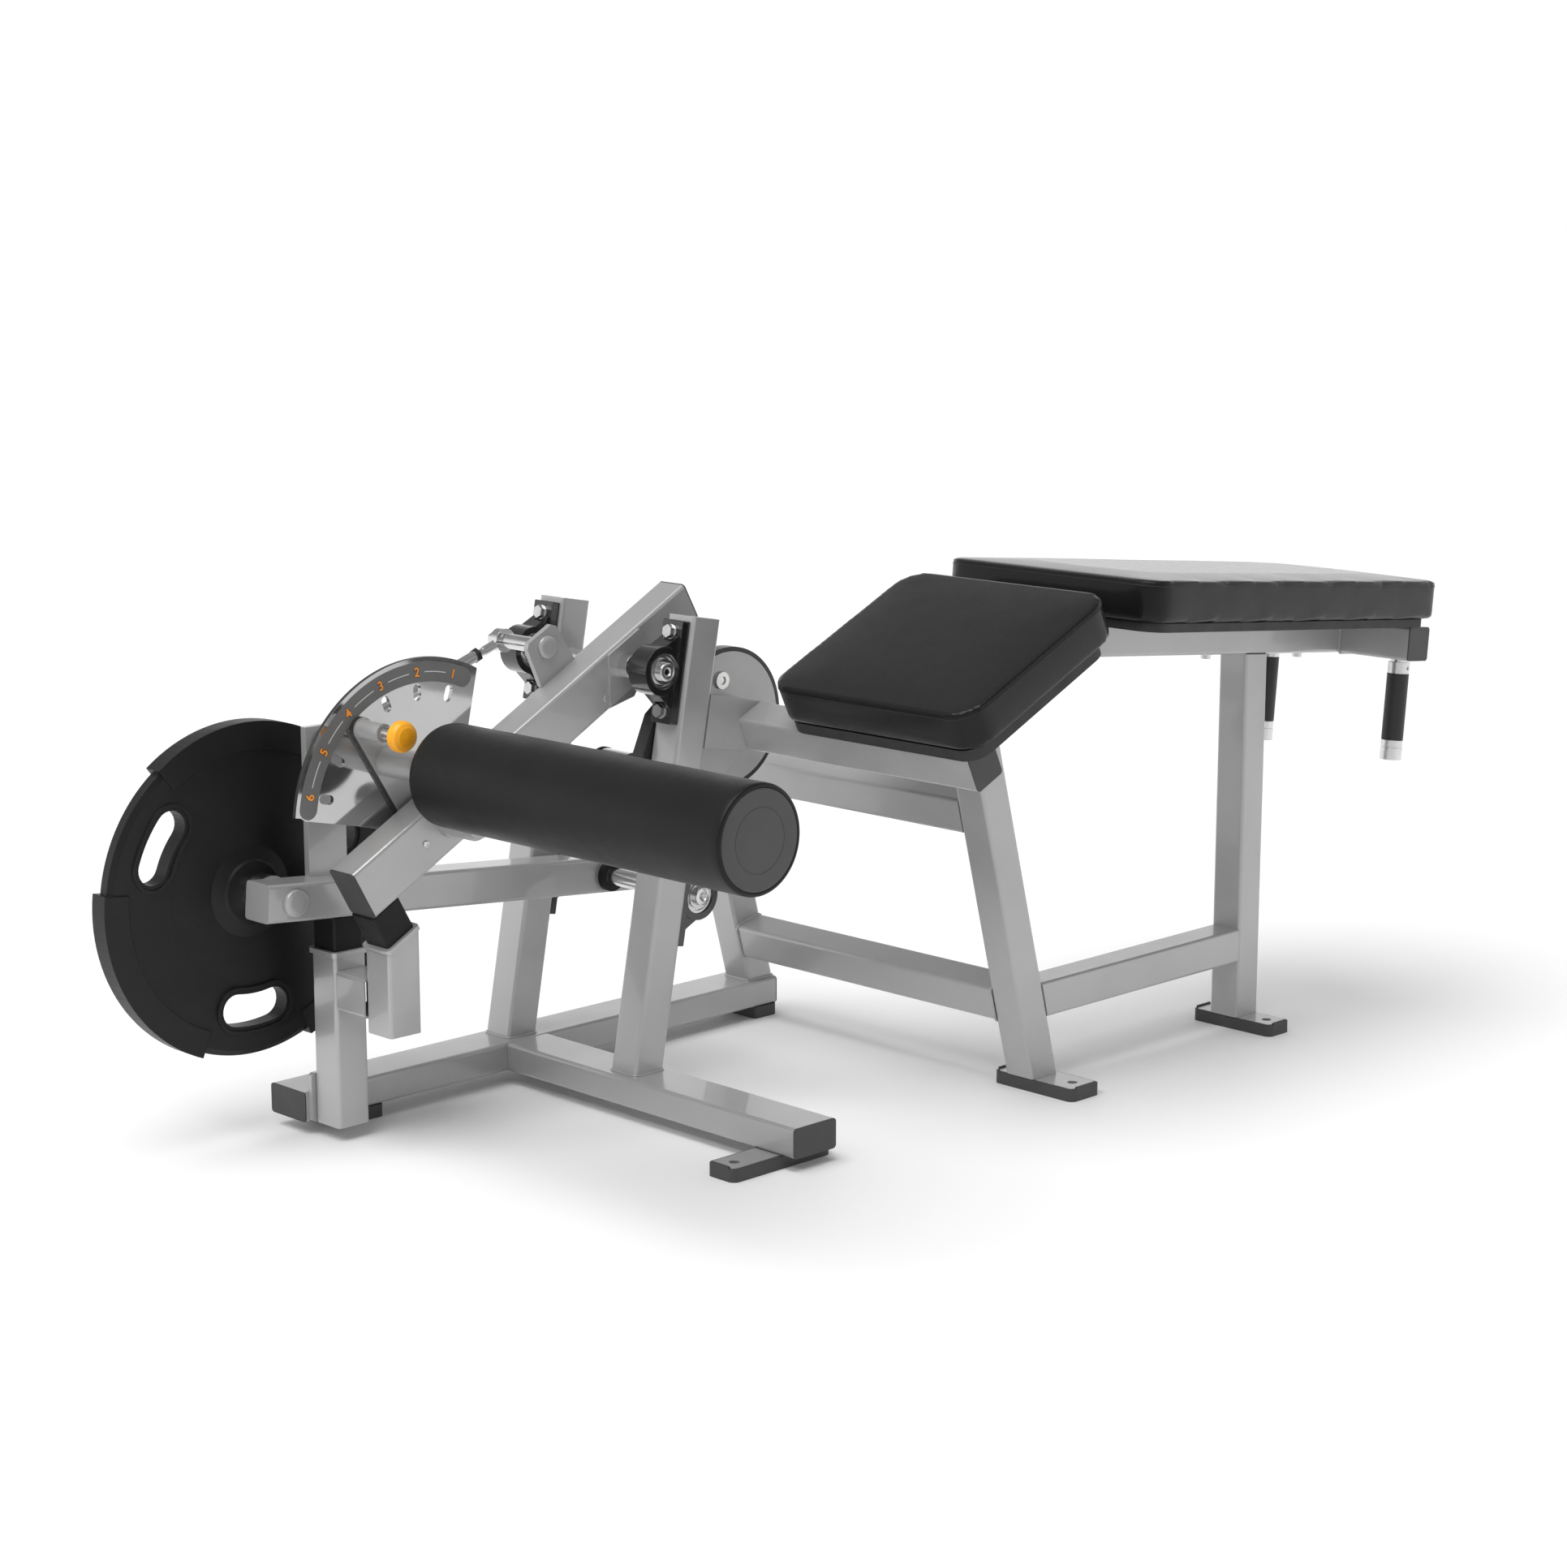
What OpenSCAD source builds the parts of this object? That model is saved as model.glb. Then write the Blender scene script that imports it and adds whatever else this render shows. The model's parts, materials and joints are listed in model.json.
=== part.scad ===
// Lying leg curl, plate loaded. Millimetres. X runs from the weight plate to the head end,
// Y runs from the user's roller side to the weight plate side, Z is up and the floor is 0.

/* [Frame tubes] */
// outside width of the main square tubes
tube = 50; // [40:1:80]
// wall of every tube
wall = 3; // [2:0.5:5]
// outside corner radius of every tube
tube_r = 5; // [2:0.5:10]
// width of the floor tubes
base_w = 75; // [50:1:100]
// height of the floor tubes
base_h = 40; // [30:1:60]
// underside of the floor tubes above the floor
base_z = 18; // [10:1:40]
// lean of the two uprights from vertical
lean_up = 10.4; // [0:0.1:20]
// lean of the two legs from vertical
lean_leg = 15; // [0:0.5:25]
// front end of the long floor tube
long_x0 = -343; // [-500:1:-200]
// head end of the long floor tube
long_x1 = 519; // [300:1:800]

/* [Pads] */
// slope of the hip pad
hip_a = 25; // [0:0.5:45]
// slope of the torso pad
torso_a = 5.4; // [0:0.1:20]
// width of the hip pad
hip_w = 360; // [250:1:450]
// foam thickness of both pads
foam_t = 58.3; // [30:0.1:90]
// torso pad width at the foot end
torso_w0 = 380; // [250:1:450]
// torso pad width at the head end
torso_w1 = 320; // [200:1:450]

/* [Lever arm] */
// angle of the lever arm at rest
arm_a = 29; // [10:1:60]
// depth of the lever arm tube
arm_h = 70; // [50:1:100]
// pivot to the roller end of the arm
arm_l = 503; // [300:1:700]
// pivot to the tail end of the arm
arm_tail = 139; // [60:1:250]
// diameter of both pivot shafts
shaft_d = 25; // [20:1:40]
// bore centre above the foot of every pillow block
bearing_h = 33.6; // [30:0.1:45]

/* [Roller and dial] */
// outside diameter of the foam roller
roller_d = 132; // [90:1:180]
// length of the foam roller
roller_l = 555; // [300:5:700]
// hub to the roller axle
roller_r = 95.3; // [60:0.1:160]
// hub to the pull pin
pin_r = 155; // [100:1:220]
// angle of the swing arm at rest
swing_a = 129; // [72:0.1:166]
// angle between two pin slots
slot_step = 18.79; // [10:0.01:30]
// number of pin slots
slot_n = 6; // [3:1:8]
// radial running clearance of the pins and shafts
run = 0.05; // [0.02:0.01:0.1]

/* [Weight arm] */
// rise of the weight arm at rest
warm_a = 5.12; // [0:0.01:20]
// diameter of the plate horn
horn_d = 50; // [25:0.5:50]
// diameter of the weight plate
plate_d = 444; // [200:1:450]

/* [View] */
// sub-part to show

/* [Hidden] */
$fn = 48;
ox = -304.5;          // moves the drawing so the box is centred on the origin
oy = 292.5;
A1 = [78, 595.5];     // knee axis, x and z
A2 = [140, 283];      // weight arm axis, x and z
yc_n = -218;          // near upright centre
yc_f = 45;            // far upright centre
yc_l = -512;          // legs, side beam and pads centre
yl0 = -160;           // lever arm near face
yl1 = -110;           // lever arm far face
hub_t = 339;          // knee axis to swing hub along the arm
boss_t = 75;          // knee axis to rod pin along the arm
boss_p = 77;          // rod pin above the arm's centreline
rod_y = -28;          // plane of the connecting rod
rod_l = 310.57;
rod_a = 19.368;       // slope of the rod at rest
top_z = base_z + base_h;
silver = [0.66, 0.67, 0.68];
dark = [0.16, 0.16, 0.17];
black = [0.05, 0.05, 0.055];
steel = [0.75, 0.76, 0.78];
orange = [0.95, 0.55, 0.06];

// ---- shared shapes -------------------------------------------------------------------------
module place() translate([ox, oy, 0]) children();

module sq(w, h, r) {
  square([w - 2 * r, h], center = true);
  square([w, h - 2 * r], center = true);
  for (a = [-1, 1], b = [-1, 1]) translate([a * (w / 2 - r), b * (h / 2 - r)]) circle(r);
}

// hollow tube along +Z from 0
module tube_z(w, h, l) difference() {
  linear_extrude(l) sq(w, h, tube_r);
  translate([0, 0, -1]) linear_extrude(l + 2) sq(w - 2 * wall, h - 2 * wall, tube_r - wall);
}

// hollow tube along +X, centred on y and z
module tube_x(l, wy, wz) rotate([0, 90, 0]) tube_z(wz, wy, l);

// hollow tube along +Y, centred on x and z
module tube_y(l, wx, wz) rotate([-90, 0, 0]) tube_z(wx, wz, l);

// push-in end cap, its plug pointing along +Z
module cap_z(w, h) {
  translate([0, 0, -2]) linear_extrude(2) sq(w, h, tube_r);
  linear_extrude(9) sq(w - 2 * wall - 0.6, h - 2 * wall - 0.6, 1.5);
}

// cylinder along +Y
module cyl(d, l) rotate([-90, 0, 0]) cylinder(d = d, h = l);

// plate in the XZ plane, thickness along +Y
module plate_y(t) rotate([90, 0, 0]) translate([0, 0, -t]) linear_extrude(t) children();

// points of an arc, and of a curved slot of half width g from angle a0 to a1 on radius r
function arc(r, a0, a1, n = 16, c = [0, 0]) = [for (i = [0:n]) let (a = a0 + (a1 - a0) * i / n)
  c + r * [cos(a), sin(a)]];
function bean(r, g, a0, a1, n = 24) = concat(arc(r + g, a0, a1, n),
  [for (i = [1:11]) r * [cos(a1), sin(a1)] + g * [cos(a1 + 15 * i), sin(a1 + 15 * i)]],
  arc(r - g, a1, a0, n),
  [for (i = [1:11]) r * [cos(a0), sin(a0)] + g * [cos(a0 + 180 + 15 * i), sin(a0 + 180 + 15 * i)]]);

module at_xz(p, y = 0) translate([p[0], y, p[1]]) children();

// frames of reference
module upright(yc) translate([38.95, yc, top_z]) rotate([0, lean_up, 0]) children();
module leg(yc) translate([511.9 - 0.2679 * base_z, yc, base_z]) rotate([0, -lean_leg, 0]) children();
module hip() translate([237, 0, 505]) rotate([0, -hip_a, 0]) children();
module torso() translate([936, 0, 584.1]) rotate([0, torso_a, 0]) children();
module lever() at_xz(A1) rotate([0, -arm_a, 0]) children();
module swing() lever() translate([-hub_t, 0, 0]) rotate([0, -(swing_a - arm_a), 0]) children();
module warm() at_xz(A2) rotate([0, warm_a, 0]) children();
module hub_world() lever() translate([-hub_t, 0, 0]) rotate([0, arm_a, 0]) children();
module big(p, s = 900) translate(p) cube(s);

// ---- floor frame ---------------------------------------------------------------------------
module long_base_tube() color(silver) place()
  translate([long_x0, 4 + base_w / 2, base_z + base_h / 2]) tube_x(long_x1 - long_x0, base_w, base_h);

module cross_base_tube() color(silver) place()
  translate([35.5, -556, base_z + base_h / 2]) tube_y(560, base_w, base_h);

module upright_tube(yc) difference() {
  upright(yc) {
    translate([0, 0, -15]) tube_z(tube, tube, 627);
    translate([0, 0, 609]) linear_extrude(3) sq(tube - 2 * wall, tube - 2 * wall, tube_r - wall);
  }
  translate([-200, yc - 50, -42]) cube([500, 100, top_z + 42]);
}
module near_upright() color(silver) place() upright_tube(yc_n);
module far_upright() color(silver) place() upright_tube(yc_f);

module near_leg() color(silver) place() difference() {
  leg(yc_l) translate([0, 0, -20]) tube_z(tube, tube, 620);
  translate([300, -600, -82]) cube([400, 200, base_z + 82]);
  hip() translate([-200, -600, -tube / 2]) cube([800, 200, 400]);
}
module far_leg() color(silver) place() difference() {
  leg(38.5) {
    translate([0, 0, -20]) tube_z(tube, tube, 442);
    translate([0, 0, 419]) linear_extrude(3) sq(tube - 2 * wall, tube - 2 * wall, tube_r - wall);
  }
  translate([300, -50, top_z - 100]) cube([400, 200, 100]);
}
module head_leg() color(silver) place() difference() {
  translate([963, yc_l, base_z]) tube_z(tube, tube, 600);
  torso() translate([-300, -600, -tube / 2]) cube([700, 200, 400]);
}
module low_brace() color(silver) place()
  translate([477.9, -487, 127]) rotate([0, -lean_leg, 0]) tube_y(500.5, tube, tube);
module upper_crossbeam() color(silver) place()
  translate([404.7, -487, 400]) rotate([0, -lean_leg, 0]) tube_y(500.5, tube, tube);
module side_beam() color(silver) place() difference() {
  translate([480, yc_l, 127]) tube_x(458, tube, tube);
  leg(yc_l) translate([-175, -60, -40]) cube([200, 120, 400]);
}

// ---- hip and torso frame -------------------------------------------------------------------
module hip_beam() color(silver) place() difference() {
  translate([0, -243, 0]) plate_y(50)
    polygon([[120, 564.5], [249.1, 537.3], [283, 464.2], [120, 489]]);
  translate([0, -240, 0]) plate_y(44)
    polygon([[100, 565.6], [246.5, 534.8], [278, 468.1], [100, 495.2]]);
  upright(yc_n) translate([-175, -60, -100]) cube([200, 120, 900]);
}
module hip_gusset() color(silver) place() difference() {
  translate([0, -222, 0]) plate_y(8)
    polygon([[110, 490.4], [222, 473.4], [230, 461], [197, 440], [118, 385], [100, 380]]);
  upright(yc_n) translate([-175, -60, -100]) cube([200, 120, 900]);
}
module hip_tube() color(silver) place()
  hip() translate([0, -657, 0]) tube_y(414, tube, tube);
module hip_rail() color(silver) place() difference() {
  hip() translate([tube / 2, yc_l, 0]) tube_x(250, tube, tube);
  torso() translate([-480, -600, -tube / 2]) cube([600, 200, 400]);
}
module torso_beam() color(silver) place()
  torso() translate([-480, yc_l, 0]) tube_x(710, tube, tube);
module handle_beam() color(silver) place()
  torso() translate([255, -657, 0]) difference() {
    tube_y(294, tube, tube);
    for (y = [29, 264]) translate([0, y, -30]) cylinder(d = 24, h = 12);
  }

module handles() torso() for (y = [-628, -393]) translate([255, y, -25]) children();
module handle_posts() color(steel) place() handles() difference() {
  translate([0, 0, -146]) cylinder(d = 24, h = 149);
  translate([0, 0, -147]) cylinder(d = 18, h = 151);
}
module handle_collars() color(steel) place() handles() difference() {
  translate([0, 0, -21]) cylinder(d = 32, h = 17);
  translate([0, 0, -22]) cylinder(d = 24.1, h = 19);
  translate([0, -19, -12.5]) cyl(5, 5);
}
module handle_grips() color(black) place() handles() difference() {
  translate([0, 0, -119.4]) cylinder(d = 32, h = 98);
  translate([0, 0, -120]) cylinder(d = 24.4, h = 100);
}
module handle_caps() color(steel) place() handles() difference() {
  translate([0, 0, -149]) cylinder(d = 32, h = 29);
  translate([0, 0, -146.2]) cylinder(d = 24.2, h = 30);
  translate([0, 0, -131]) difference() {
    cylinder(d = 34, h = 2);
    cylinder(d = 30.4, h = 2);
  }
}

// ---- stops and feet ------------------------------------------------------------------------
module stop_post() color(silver) place() {
  translate([-308, -28, 19]) tube_z(tube, tube, 229);
  translate([-308, -28, 19]) linear_extrude(3) sq(44.2, 44.2, 2);
  translate([-308, -28, 248]) linear_extrude(7) sq(57, 57, 6);
  translate([0, -3, 0]) plate_y(7) translate([-308, 52]) sq(62, 66, 6);
}
module lever_stop() color(silver) place() {
  difference() {
    translate([-302, -135, 160]) tube_z(tube, tube, 160);
    lever() translate([-600, -200, -88]) cube([300, 130, 300]);
  }
  translate([-302, -135, 160]) linear_extrude(3) sq(44.2, 44.2, 2);
  translate([-331, -110, 178]) tube_y_box();
  lever() translate([-484, -135, -88]) linear_extrude(6) sq(58, 57, 6);
}
// short cross piece between the lever stop and the stop post
module tube_y_box() translate([25, 0, 26]) tube_y(57, 50, 52);
module stop_bumpers() color(black) place() {
  difference() {
    translate([-308, -28, 255]) linear_extrude(70) sq(46, 46, 4);
    warm() translate([-600, -80, -tube / 2 - 0.2]) cube([400, 100, 200]);
  }
  lever() translate([-484, -135, -82]) linear_extrude(46.8) sq(48, 46, 4);
}

// floor plates with a rubber boot: x, y, size along x, size along y, long side along x
function feet() = [[3.5, -508, 175, 50, 1], [512, -535, 60, 142, 0], [963, -526, 50, 142, 0]];
module foot_plates() color(silver) place() for (f = feet()) translate([f[0], f[1], 0]) difference() {
  translate([0, 0, 12]) linear_extrude(6) sq(f[2] - 7, f[3] - 7, 8);
  translate(f[4] == 1 ? [-63.5, -1, 5] : [0, -46, 5]) cylinder(d = 14, h = 20);
}
module rubber_feet() color(dark) place() {
  for (f = feet()) translate([f[0], f[1], 0]) {
    difference() {
      linear_extrude(17) sq(f[2], f[3], 10);
      translate([0, 0, 11.8]) linear_extrude(10) sq(f[2] - 6.4, f[3] - 6.4, 8);
      translate(f[4] == 1 ? [-63.5, -1, -1] : [0, -46, -1]) cylinder(d = 15, h = 20);
    }
    for (s = [-1, 1]) translate(f[4] == 1 ? [s * (f[2] / 2 - 1.6), 0, 17] : [0, s * (f[3] / 2 - 1.6), 17])
      translate([0, 0, 1.5]) cube(f[4] == 1 ? [3.2, f[3] - 20, 3] : [f[2] - 20, 3.2, 3], center = true);
  }
  translate([499, 41.5, 0]) linear_extrude(17.7) sq(44, 74, 5);
  translate([-253.5, 41.5, 0]) linear_extrude(17.7) sq(73, 74, 5);
}
module tube_caps() color(dark) place() {
  translate([long_x0, 41.5, 38]) rotate([0, 90, 0]) cap_z(base_h, base_w);
  translate([long_x1, 41.5, 38]) rotate([0, -90, 0]) cap_z(base_h, base_w);
  translate([35.5, -556, 38]) rotate([-90, 0, 0]) cap_z(base_w, base_h);
  hip() translate([0, -657, 0]) rotate([-90, 0, 0]) cap_z(tube, tube);
  torso() translate([255, -657, 0]) rotate([-90, 0, 0]) cap_z(tube, tube);
  torso() translate([255, -363, 0]) rotate([90, 0, 0]) cap_z(tube, tube);
}

// ---- bearings ------------------------------------------------------------------------------
// pillow block: bore along Y at the origin, foot on z = -bearing_h
module pillow() difference() {
  union() {
    translate([0, 0, -bearing_h]) linear_extrude(13) sq(138, 38, 2);
    translate([0, -17, 0]) cyl(66, 34);
    translate([0, -15, 0]) plate_y(30)
      polygon([[-33, 1], [-50, -22], [-50, -bearing_h], [50, -bearing_h], [50, -22], [33, 1]]);
  }
  translate([0, -30, 0]) cyl(48, 60);
  for (s = [-1, 1]) translate([s * 53, 0, -bearing_h - 1]) cylinder(d = 13, h = 30);
  for (s = [-1, 1]) translate([s * 53, 0, -bearing_h + 13]) cylinder(d = 24, h = 60);
}
module ring(d, bore, l) difference() {
  cyl(d, l);
  translate([0, -1, 0]) cyl(bore, l + 2);
}
module upper(y) translate([A1[0], y, A1[1]]) rotate([0, lean_up - 90, 0]) children();
module lower(y) translate([A2[0], y, A2[1]]) rotate([0, lean_up + 90, 0]) children();
module upper_bearings() color(black) place() for (y = [yc_n, yc_f]) upper(y) pillow();
module lower_bearings() color(black) place() for (y = [yc_n, yc_f]) lower(y) pillow();
module insert() {
  translate([0, -15, 0]) ring(48, 40, 30);
  translate([0, -13, 0]) ring(40, 35, 26);
  translate([0, -17, 0]) ring(35, shaft_d + 2 * run, 34);
}
module bearing_inserts() color(steel) place() for (y = [yc_n, yc_f]) {
  upper(y) insert();
  lower(y) insert();
}
module bolts() for (s = [-1, 1]) translate([s * 53, 0, -bearing_h]) {
  cylinder(d = 12, h = 13);
  translate([0, 0, 13]) cylinder(d = 20, h = 2);
  translate([0, 0, 15]) cylinder(d = 18, h = 8, $fn = 6);
}
module bearing_bolts() color(steel) place() for (y = [yc_n, yc_f]) {
  upper(y) bolts();
  lower(y) bolts();
}

// ---- guard and end stop --------------------------------------------------------------------
module guard_shape() {
  translate([235, 510]) circle(97, $fn = 96);
  polygon([[99.7, 528.8], [77.9, 479.4], [78.2, 474], [82, 471], [200, 419.5], [235, 510], [190, 596],
    [170, 583]]);
}
module guard_plate() color(black) place() difference() {
  translate([0, -193, 0]) plate_y(21) guard_shape();
  at_xz([235, 510], -194) cyl(183, 4);
  at_xz([235, 510], -185) cyl(176, 20);
  at_xz([221, 563], -194) cyl(10, 12);
}
module guard_face() color(silver) place() difference() {
  at_xz([235, 510], -193) cyl(182, 3);
  at_xz([221, 563], -194) cyl(10, 12);
}
module guard_bolt() color(steel) place() at_xz([221, 563]) {
  translate([0, -193, 0]) cyl(9.8, 7.8);
  translate([0, -197, 0]) difference() {
    cyl(24, 4);
    translate([0, -1, 0]) cyl(11, 3);
  }
}
module stop_bar() color(steel) place() at_xz([76, 455]) {
  translate([0, -172, 0]) cyl(48, 54);
  translate([0, -188, 0]) cyl(30, 16);
  translate([-76, -193, -455]) plate_y(5)
    polygon([[60, 438], [128, 424], [128, 449], [84, 468.5], [66, 468.5]]);
}
module stop_ring() color(black) place() at_xz([76, 455], -118) cyl(50, 6);

// ---- pads ----------------------------------------------------------------------------------
module hip_pad() color(black) place()
  hip() translate([119.2, yc_l, 41.3]) linear_extrude(foam_t) sq(311, hip_w, 40);
module hip_board() color([0.1, 0.1, 0.1]) place()
  hip() translate([110, yc_l, 25]) linear_extrude(16) sq(280, hip_w - 24, 30);
module torso_plan(x0, x1, g, r) hull() {
  for (s = [-1, 1]) {
    translate([x0 + r, s * (torso_w0 / 2 - g - r)]) circle(r, $fn = 32);
    translate([x1 - 15, s * (torso_w1 / 2 - g - 15)]) circle(15, $fn = 32);
  }
}
module torso_pad() color(black) place()
  torso() translate([0, yc_l, 37.3]) linear_extrude(foam_t + 0.4) torso_plan(-428, 280, 0, 34);
module torso_board() color([0.1, 0.1, 0.1]) place()
  torso() translate([0, yc_l, 25]) linear_extrude(12) torso_plan(-416, 262, 10, 30);
module under_bolt() {
  translate([0, 0, -2]) cylinder(d = 18, h = 2);
  translate([0, 0, -8]) cylinder(d = 14, h = 6, $fn = 6);
}
module pad_bolts() color(steel) place() {
  torso() for (x = [-330, -60, 160]) translate([x, yc_l, -25]) under_bolt();
  hip() for (y = [-630, -400]) translate([0, y, -25]) under_bolt();
}

// ---- lever arm -----------------------------------------------------------------------------
module lever_arm() color(silver) place() lever() difference() {
  union() {
    translate([-arm_l, (yl0 + yl1) / 2, 0]) tube_x(arm_l + arm_tail, yl1 - yl0, arm_h);
    translate([0, yl0 - 3, 0]) plate_y(3) polygon([[-52, -31], [42, -31], [42, 31], [-20, 31]]);
    translate([0, -139, 0]) plate_y(8) polygon([[-82, -35], [6, -58], [49, -35]]);
  }
  translate([0, -200, 0]) cyl(shaft_d, 120);
  translate([-hub_t, -200, 0]) cyl(34.1, 120);
}
module lever_caps() color(dark) place() lever() {
  translate([-arm_l, -135, 0]) rotate([0, 90, 0]) cap_z(arm_h, 50);
  translate([arm_tail, -135, 0]) rotate([0, -90, 0]) cap_z(arm_h, 50);
}
module knee_shaft() color(steel) place() at_xz(A1) {
  translate([0, -240, 0]) cyl(shaft_d, 307);
  translate([0, -180, 0]) ring(36, shaft_d, 17);
  translate([0, -110, 0]) ring(36, shaft_d, 8);
}
module rod_bracket() color(silver) place() lever() difference() {
  translate([0, -118, 0]) plate_y(8)
    polygon([[-108, 35], [-103, 92], [-97, 98], [-53, 98], [-47, 92], [-42, 35]]);
  translate([-boss_t, -130, boss_p]) cyl(20, 30);
}
module rod_pin() color(steel) place() lever() translate([-boss_t, 0, boss_p]) {
  translate([0, -122, 0]) cyl(20, 83.8);
  translate([0, -38.2, 0]) cyl(12, 30);
  translate([0, -17.8, 0]) cyl(19, 9.8, $fn = 6);
}
module hub_tube() color(steel) place() hub_world() difference() {
  union() {
    translate([0, -205, 0]) cyl(46, 45);
    translate([0, -166, 0]) cyl(52, 6);
    translate([0, -160, 0]) cyl(34, 50);
  }
  translate([0, -206, 0]) cyl(shaft_d + 2 * run, 100);
}
module hub_bushing() color(black) place() hub_world() translate([0, -110, 0]) ring(60, shaft_d + 2 * run, 6);
module dial_shape() difference() {
  union() {
    intersection() {
      circle(200, $fn = 128);
      polygon([[0, -32], [50, -22], [66, 20], [79.4, 105.6], [100, 199], [0, 260], [-230, 260],
        [-230, 24], [-191, 17.5], [-184, 12.5], [-178, 11.5], [-104, -5]]);
    }
    circle(32);
  }
  circle(d = shaft_d + 2 * run);
  for (k = [0:slot_n - 1]) rotate(72.6 + slot_step * k) translate([pin_r, 0]) {
    square([10, 12], center = true);
    for (s = [-1, 1]) translate([s * 5, 0]) circle(6);
  }
}
module dial_plate() color(silver) place() hub_world() {
  translate([0, -95, 0]) plate_y(6) dial_shape();
  translate([56, -110, 33]) cyl(16, 15);
}
module dial_band() color([0.43, 0.43, 0.45]) place() hub_world()
  translate([0, -95.8, 0]) plate_y(0.8) polygon(bean(181, 13, 67, 171.5, 48));

// ---- swing arm, pull pin and roller --------------------------------------------------------
module swing_plate() color(silver) place() swing() {
  translate([0, -103.5, 0]) plate_y(7.5) difference() {
    union() {
      circle(35);
      translate([pin_r, 0]) circle(15);
      polygon([[4.5, -34.7], [157, -14.8], [157, 14.8], [4.5, 34.7]]);
    }
    circle(d = shaft_d);
    translate([pin_r, 0]) circle(d = 12 + 2 * run);
  }
  translate([0, -208.5, 0]) cyl(shaft_d, 119);
  translate([0, -213.5, 0]) difference() {
    cyl(38, 8.4);
    translate([0, 5, 0]) cyl(shaft_d - 4, 8);
  }
  translate([pin_r, -146, 0]) ring(24, 12 + 2 * run, 42.5);
}
module roller_axle() color(steel) place() swing() translate([roller_r, 0, 0]) {
  translate([0, -224.4, 0]) cyl(39, 120.9);
  translate([0, -776, 0]) cyl(shaft_d, 551.6);
}
module plunger() color(steel) place() swing() translate([pin_r, 0, 0]) {
  translate([0, -170, 0]) cyl(12, 74);
  translate([0, -166, 0]) cyl(17, 18);
}
module knob() color(orange) place() swing() translate([pin_r, -166.2, 0]) rotate([90, 0, 0]) difference() {
  rotate_extrude($fn = 64) polygon([[0, 0], [9, 0], [11, 5], [17.5, 8], [20, 12], [20, 19], [17.5, 24],
    [12, 27], [0, 28.5]]);
  translate([0, 0, -1]) cylinder(d = 12, h = 4.8);
}
module roller_foam() color(black) place() swing() translate([roller_r, -780, 0]) rotate([-90, 0, 0])
  rotate_extrude($fn = 96) polygon([[31, 4], [59.7, 4], [59.7, 0], [63, 0], [66, 3], [66, 552], [63, 555],
    [31, 555]]);
module roller_ends() color([0.3, 0.3, 0.31]) place() swing() translate([roller_r, 0, 0]) {
  translate([0, -779.5, 0]) cyl(119, 3.2);
  translate([0, -776.3, 0]) ring(61.8, 36, 551.3);
  translate([0, -775.5, 0]) ring(36, shaft_d + 2 * run, 30);
  translate([0, -255, 0]) ring(36, shaft_d + 2 * run, 30);
}

// ---- weight arm, rod and plate -------------------------------------------------------------
module weight_arm() color(silver) place() {
  warm() difference() {
    translate([-572.3, rod_y, 0]) tube_x(622, tube, tube);
    translate([0, -80, 0]) cyl(shaft_d, 120);
    translate([-535, -80, 0]) cyl(34, 120);
  }
  warm() translate([-572.3, rod_y, 0]) rotate([0, 90, 0]) cap_z(tube, tube);
  difference() {
    translate([-343, -18, 300]) cube([60, 10, 246]);
    warm() translate([-600, -80, -200]) cube([400, 100, 200 + tube / 2]);
  }
  translate([-318, -8, 523]) cyl(19, 10, $fn = 6);
}
module lower_shaft() color(steel) place() at_xz(A2) {
  translate([0, -240, 0]) cyl(shaft_d, 307);
  translate([0, -61, 0]) ring(44, shaft_d, 8);
}
module plate_horn() color(steel) place() warm() translate([-535, 0, 0]) {
  translate([0, -59, 0]) cyl(34, 57);
  translate([0, -3, 0]) cyl(55, 38);
  translate([0, 35, 0]) cyl(horn_d - 3, 34);
  translate([0, 69, 0]) cyl(horn_d, 123);
  translate([0, 192, 0]) cyl(horn_d - 6, 3);
}
module rod_eye() {
  translate([0, -7, 0]) cyl(32, 14);
  translate([0, -9.8, 0]) cyl(20, 19.4);
}
module connecting_rod() color(steel) place() lever() translate([-boss_t, rod_y, boss_p])
  rotate([0, arm_a - rod_a, 0]) {
  difference() {
    rod_eye();
    translate([0, -20, 0]) cyl(12 + 2 * run, 40);
  }
  translate([-rod_l, 0, 0]) rod_eye();
  translate([-rod_l, -16, 0]) cyl(19, 7, $fn = 6);
  translate([-rod_l + 52, 0, 0]) rotate([0, 90, 0]) cylinder(d = 16, h = rod_l - 104);
  for (s = [0, 1]) translate([s * -rod_l, 0, 0]) rotate([0, s * 180, 0]) {
    translate([-50, 0, 0]) rotate([0, 90, 0]) cylinder(d = 10, h = 38);
    translate([-52, 0, 0]) rotate([0, 90, 0]) cylinder(d = 20, h = 7, $fn = 6);
    translate([-36, 0, 0]) rotate([0, 90, 0]) cylinder(d = 12.6, h = 26);
  }
}

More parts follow.
